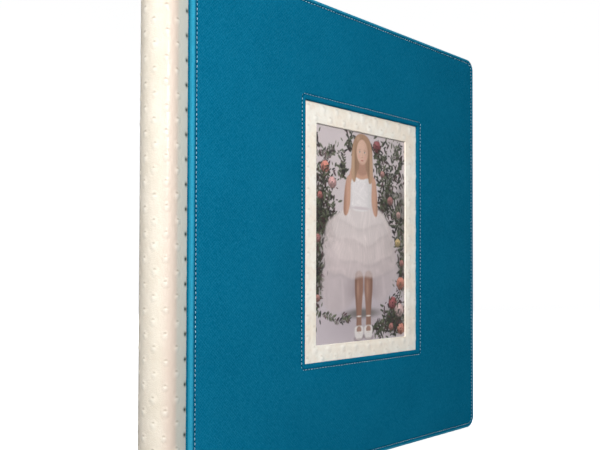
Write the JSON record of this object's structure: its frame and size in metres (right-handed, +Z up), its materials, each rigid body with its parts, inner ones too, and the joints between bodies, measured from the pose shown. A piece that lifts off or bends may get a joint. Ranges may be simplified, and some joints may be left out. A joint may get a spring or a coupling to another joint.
{
  "type": "scrapbook album",
  "caption": "Padded ring-bound scrapbook album with a rounded spine, framed print window in the front cover and clear pocket leaves on opening rings.",
  "frame": {"origin": "middle of the base of the closed album's bounding box, as it stands on its tail edge", "axes": "+X from the spine to the fore edge, -Y out of the front cover, +Z up to the head"},
  "size_m": [0.315, 0.035, 0.308],
  "materials": {
    "ivory_leather": "ostrich-embossed ivory leatherette, soft pearl sheen",
    "teal_leather": "fine cross-grained teal leatherette, satin",
    "thread": "pale blue polyester topstitching thread",
    "foam": "soft open-cell foam pad, hidden under the leather",
    "greyboard": "dense grey bookbinding board",
    "lining_paper": "ivory lining card, matt",
    "backing_card": "white-lined card behind the print",
    "photo_paper": "colour photographic print, satin",
    "clear_film": "clear polypropylene film",
    "page_card": "heavy scrapbook page card, matt",
    "nickel": "bright nickel-plated steel",
    "steel": "plain zinc-plated steel"
  },
  "bodies": {
    "spine": {"spine_board": "greyboard", "spine_padding": "foam", "spine_leather": "ivory_leather", "spine_lining": "lining_paper", "ring_shield": "nickel", "lower_rivet": "nickel", "upper_rivet": "nickel", "lower_lever_pin": "steel", "upper_lever_pin": "steel"},
    "front_cover": {"front_cover_board": "greyboard", "front_cover_padding": "foam", "front_cover_leather": "teal_leather", "front_cover_thread": "thread", "window_thread": "thread", "frame_leather": "ivory_leather", "frame_board": "greyboard", "window_film": "clear_film", "photo_print": "photo_paper", "photo_backing": "backing_card", "front_hinge_leather": "ivory_leather", "front_lining": "lining_paper"},
    "back_cover": {"back_cover_board": "greyboard", "back_cover_padding": "foam", "back_cover_leather": "teal_leather", "back_cover_thread": "thread", "back_hinge_leather": "ivory_leather", "back_lining": "lining_paper"},
    "upper_lever": {"upper_lever": "steel"},
    "lower_lever": {"lower_lever": "steel"},
    "right_blade": {"right_blade": "steel", "right_ring_lower": "nickel", "right_ring_middle": "nickel", "right_ring_upper": "nickel"},
    "left_blade": {"left_blade": "steel", "left_ring_lower": "nickel", "left_ring_middle": "nickel", "left_ring_upper": "nickel"},
    "leaf_1": {"leaf_1_sleeve": "clear_film", "leaf_1_card": "page_card"},
    "leaf_2": {"leaf_2_sleeve": "clear_film", "leaf_2_card": "page_card"},
    "leaf_3": {"leaf_3_sleeve": "clear_film", "leaf_3_card": "page_card"},
    "leaf_4": {"leaf_4_sleeve": "clear_film", "leaf_4_card": "page_card"},
    "leaf_5": {"leaf_5_sleeve": "clear_film", "leaf_5_card": "page_card"},
    "leaf_6": {"leaf_6_sleeve": "clear_film", "leaf_6_card": "page_card"},
    "leaf_7": {"leaf_7_sleeve": "clear_film", "leaf_7_card": "page_card"},
    "leaf_8": {"leaf_8_sleeve": "clear_film", "leaf_8_card": "page_card"}
  },
  "joints": [
    {"name": "front_cover_hinge", "type": "hinge", "parent": "spine", "child": "front_cover", "pos_m": [-0.1417, -0.01288, 0.154], "axis": [0, 0, -1], "range_deg": [0, 95]},
    {"name": "back_cover_hinge", "type": "hinge", "parent": "spine", "child": "back_cover", "pos_m": [-0.1417, 0.01288, 0.154], "axis": [0, 0, 1], "range_deg": [0, 95]},
    {"name": "upper_lever_pivot", "type": "hinge", "parent": "spine", "child": "upper_lever", "pos_m": [-0.1477, 0, 0.2895], "axis": [0, -1, 0], "range_deg": [0, 30]},
    {"name": "lower_lever_pivot", "type": "hinge", "parent": "spine", "child": "lower_lever", "pos_m": [-0.1477, 0, 0.0185], "axis": [0, 1, 0], "range_deg": [0, 30]},
    {"name": "right_blade_pivot", "type": "hinge", "parent": "spine", "child": "right_blade", "pos_m": [-0.1477, 0.0048, 0.154], "axis": [0, 0, 1], "range_deg": [0, 10]},
    {"name": "left_blade_pivot", "type": "hinge", "parent": "spine", "child": "left_blade", "pos_m": [-0.1477, -0.0048, 0.154], "axis": [0, 0, -1], "range_deg": [0, 10]},
    {"name": "leaf_1_turn", "type": "hinge", "parent": "spine", "child": "leaf_1", "pos_m": [-0.1392, 0, 0.154], "axis": [0, 0, -1], "range_deg": [0, 66.51]},
    {"name": "leaf_2_turn", "type": "hinge", "parent": "spine", "child": "leaf_2", "pos_m": [-0.1392, 0, 0.154], "axis": [0, 0, -1], "range_deg": [0, 59.86]},
    {"name": "leaf_3_turn", "type": "hinge", "parent": "spine", "child": "leaf_3", "pos_m": [-0.1392, 0, 0.154], "axis": [0, 0, -1], "range_deg": [0, 53.21]},
    {"name": "leaf_4_turn", "type": "hinge", "parent": "spine", "child": "leaf_4", "pos_m": [-0.1392, 0, 0.154], "axis": [0, 0, -1], "range_deg": [0, 46.56]},
    {"name": "leaf_5_turn", "type": "hinge", "parent": "spine", "child": "leaf_5", "pos_m": [-0.1392, 0, 0.154], "axis": [0, 0, 1], "range_deg": [0, 46.56]},
    {"name": "leaf_6_turn", "type": "hinge", "parent": "spine", "child": "leaf_6", "pos_m": [-0.1392, 0, 0.154], "axis": [0, 0, 1], "range_deg": [0, 53.21]},
    {"name": "leaf_7_turn", "type": "hinge", "parent": "spine", "child": "leaf_7", "pos_m": [-0.1392, 0, 0.154], "axis": [0, 0, 1], "range_deg": [0, 59.86]},
    {"name": "leaf_8_turn", "type": "hinge", "parent": "spine", "child": "leaf_8", "pos_m": [-0.1392, 0, 0.154], "axis": [0, 0, 1], "range_deg": [0, 66.51]}
  ],
  "couplings": [
    {"joint": "left_blade_pivot", "follows": "right_blade_pivot", "ratio": 1},
    {"joint": "upper_lever_pivot", "follows": "right_blade_pivot", "ratio": 3},
    {"joint": "lower_lever_pivot", "follows": "right_blade_pivot", "ratio": 3},
    {"joint": "leaf_1_turn", "follows": "front_cover_hinge", "ratio": 0.7},
    {"joint": "leaf_2_turn", "follows": "front_cover_hinge", "ratio": 0.63},
    {"joint": "leaf_3_turn", "follows": "front_cover_hinge", "ratio": 0.56},
    {"joint": "leaf_4_turn", "follows": "front_cover_hinge", "ratio": 0.49},
    {"joint": "leaf_5_turn", "follows": "back_cover_hinge", "ratio": 0.49},
    {"joint": "leaf_6_turn", "follows": "back_cover_hinge", "ratio": 0.56},
    {"joint": "leaf_7_turn", "follows": "back_cover_hinge", "ratio": 0.63},
    {"joint": "leaf_8_turn", "follows": "back_cover_hinge", "ratio": 0.7}
  ]
}
